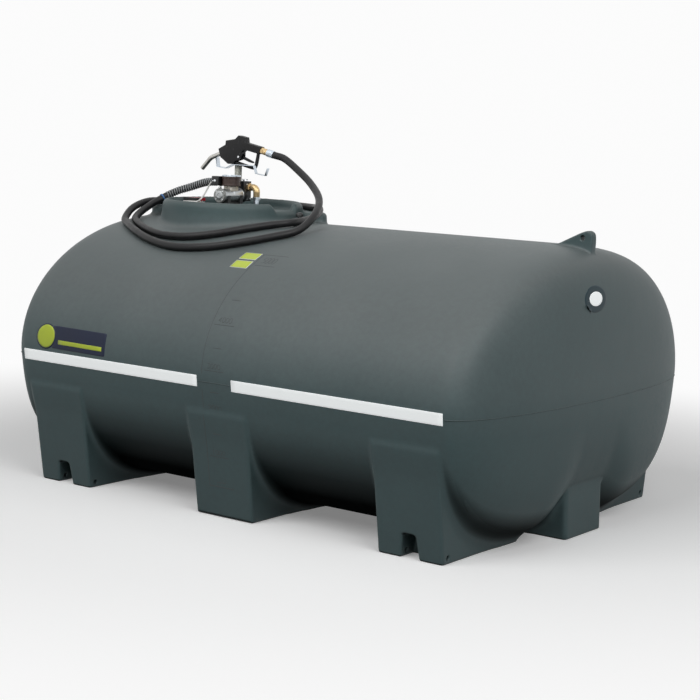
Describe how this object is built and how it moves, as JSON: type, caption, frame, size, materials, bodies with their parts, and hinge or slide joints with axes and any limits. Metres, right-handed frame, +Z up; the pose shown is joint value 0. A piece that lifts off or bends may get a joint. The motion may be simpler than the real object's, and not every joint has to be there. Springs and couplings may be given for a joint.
{
  "type": "free-standing diesel storage tank",
  "caption": "Oval moulded diesel storage tank on integral legs, with a raised pump well on top that carries an electric pump, flow meter, delivery hose and dispensing nozzle.",
  "frame": {"origin": "on the ground under the centre of the tank", "axes": "+X along the tank away from the pump well, -Y is the side with the level scale and plates, +Z up"},
  "size_m": [2.64, 1.8824, 1.5933],
  "materials": {
    "shell": "matte moulded polyethylene",
    "lid": "matte black plastic",
    "reflective": "white reflective tape",
    "zinc": "bright zinc plate",
    "motor": "metallic grey",
    "cast_black": "satin black",
    "brass": "dull brass",
    "alloy": "cast aluminium",
    "meter": "dark brown plastic",
    "post": "grey-beige",
    "nozzle": "black plastic cover",
    "hose": "smooth black rubber",
    "lead": "white sheath",
    "clamp_red": "red plastic",
    "clamp_black": "black plastic"
  },
  "bodies": {
    "root": {"barrel": "shell", "end_left": "shell", "end_right": "shell", "leg_front_left": "shell", "leg_front_right": "shell", "leg_rear_left": "shell", "leg_rear_right": "shell", "leg_front_middle": "shell", "leg_rear_middle": "shell", "leg_end_left": "shell", "leg_end_right": "shell", "lifting_lug_left": "shell", "lifting_lug_right": "shell", "well_collar": "shell", "hose_shelf": "shell", "manway_neck": "shell", "manway_lid": "lid", "vent_cap": "lid", "strip_front_left": "reflective", "strip_front_right": "reflective", "strip_rear_left": "reflective", "strip_rear_right": "reflective", "pump_base": "zinc", "pump_motor": "motor", "motor_cap": "motor", "pump_head": "cast_black", "outlet_elbow": "brass", "suction_pipe": "zinc", "port_block": "alloy", "meter_body": "meter", "meter_bezel": "zinc", "switch_box": "cast_black", "hose_outlet": "cast_black", "nozzle_post": "post", "nozzle_holder": "zinc", "nozzle_body": "nozzle", "nozzle_spout": "zinc", "hose_swivel": "brass", "hose_ferrule": "zinc", "delivery_hose": "hose", "battery_lead": "lead", "lead_coil": "lead", "clamp_red": "clamp_red", "clamp_black": "clamp_black"},
    "trigger": {"nozzle_lever": "nozzle"}
  },
  "joints": [
    {"name": "trigger_squeeze", "type": "hinge", "parent": "root", "child": "trigger", "pos_m": [-0.775, 0.114, 1.4903], "axis": [0, 1, 0], "range_deg": [-12, 0], "stiffness_Nm_per_rad": 0.6, "springref_deg": 5.73}
  ]
}
